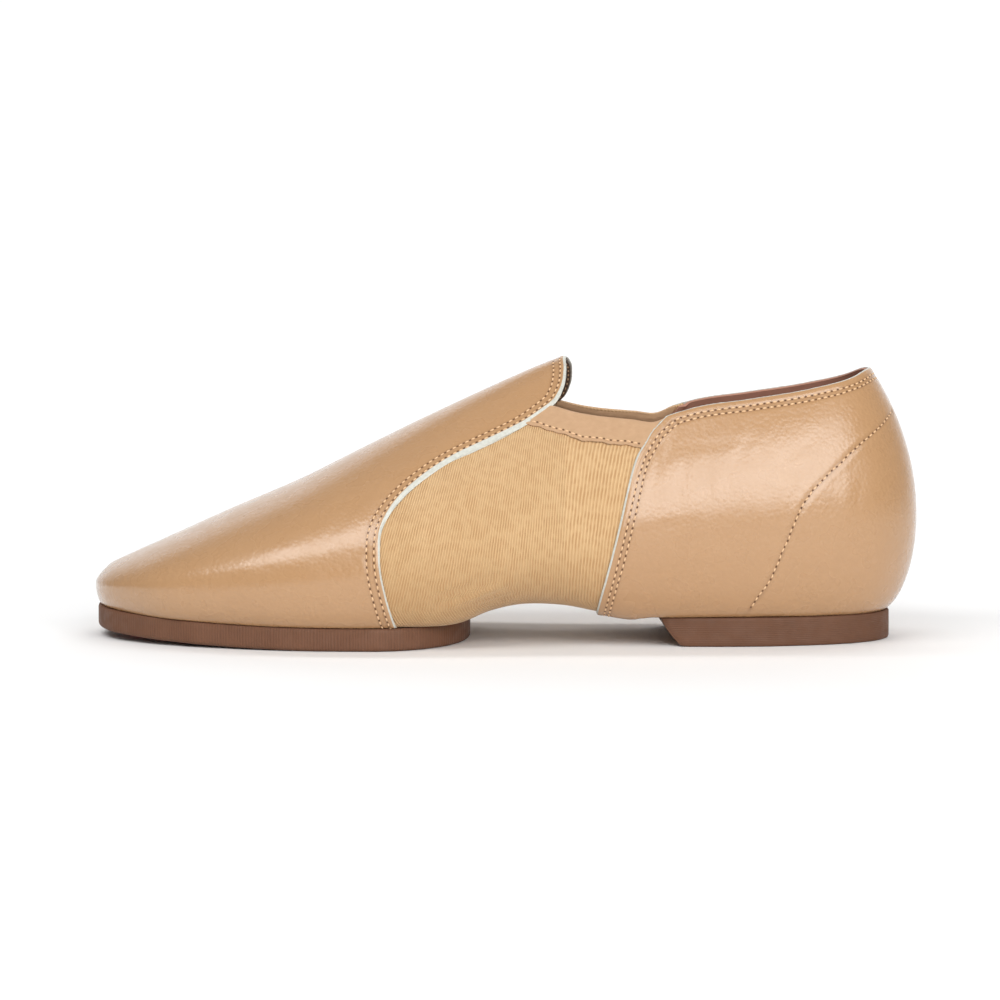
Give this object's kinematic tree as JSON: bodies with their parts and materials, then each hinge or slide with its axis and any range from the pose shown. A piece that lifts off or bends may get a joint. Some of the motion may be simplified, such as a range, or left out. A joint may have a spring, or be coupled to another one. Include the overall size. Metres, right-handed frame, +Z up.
{
  "type": "jazz shoe",
  "caption": "Left slip-on jazz shoe in tan leather with stretch side gores, a split rubber sole with a red insert, and a low heel.",
  "frame": {"origin": "on the floor, at the middle of the shoe's length and width", "axes": "+X from the toe to the heel, +Y towards the inner side of the foot, +Z up"},
  "size_m": [0.25, 0.0922, 0.0855],
  "materials": {
    "gore_cloth": "ribbed stretch knit",
    "tan_leather": "satin, fine grain",
    "band_cloth": "smooth knit",
    "sock_leather": "matte",
    "sole_rubber": "matte, fine lines",
    "insert_rubber": "matte",
    "heel_rubber": "matte, brushed sides"
  },
  "bodies": {
    "root": {"upper": "gore_cloth", "vamp": "tan_leather", "quarter": "tan_leather", "gore_band_outer": "band_cloth", "gore_band_inner": "band_cloth", "insole": "sock_leather", "outsole": "sole_rubber", "sole_insert": "insert_rubber", "heel": "heel_rubber"}
  },
  "joints": []
}
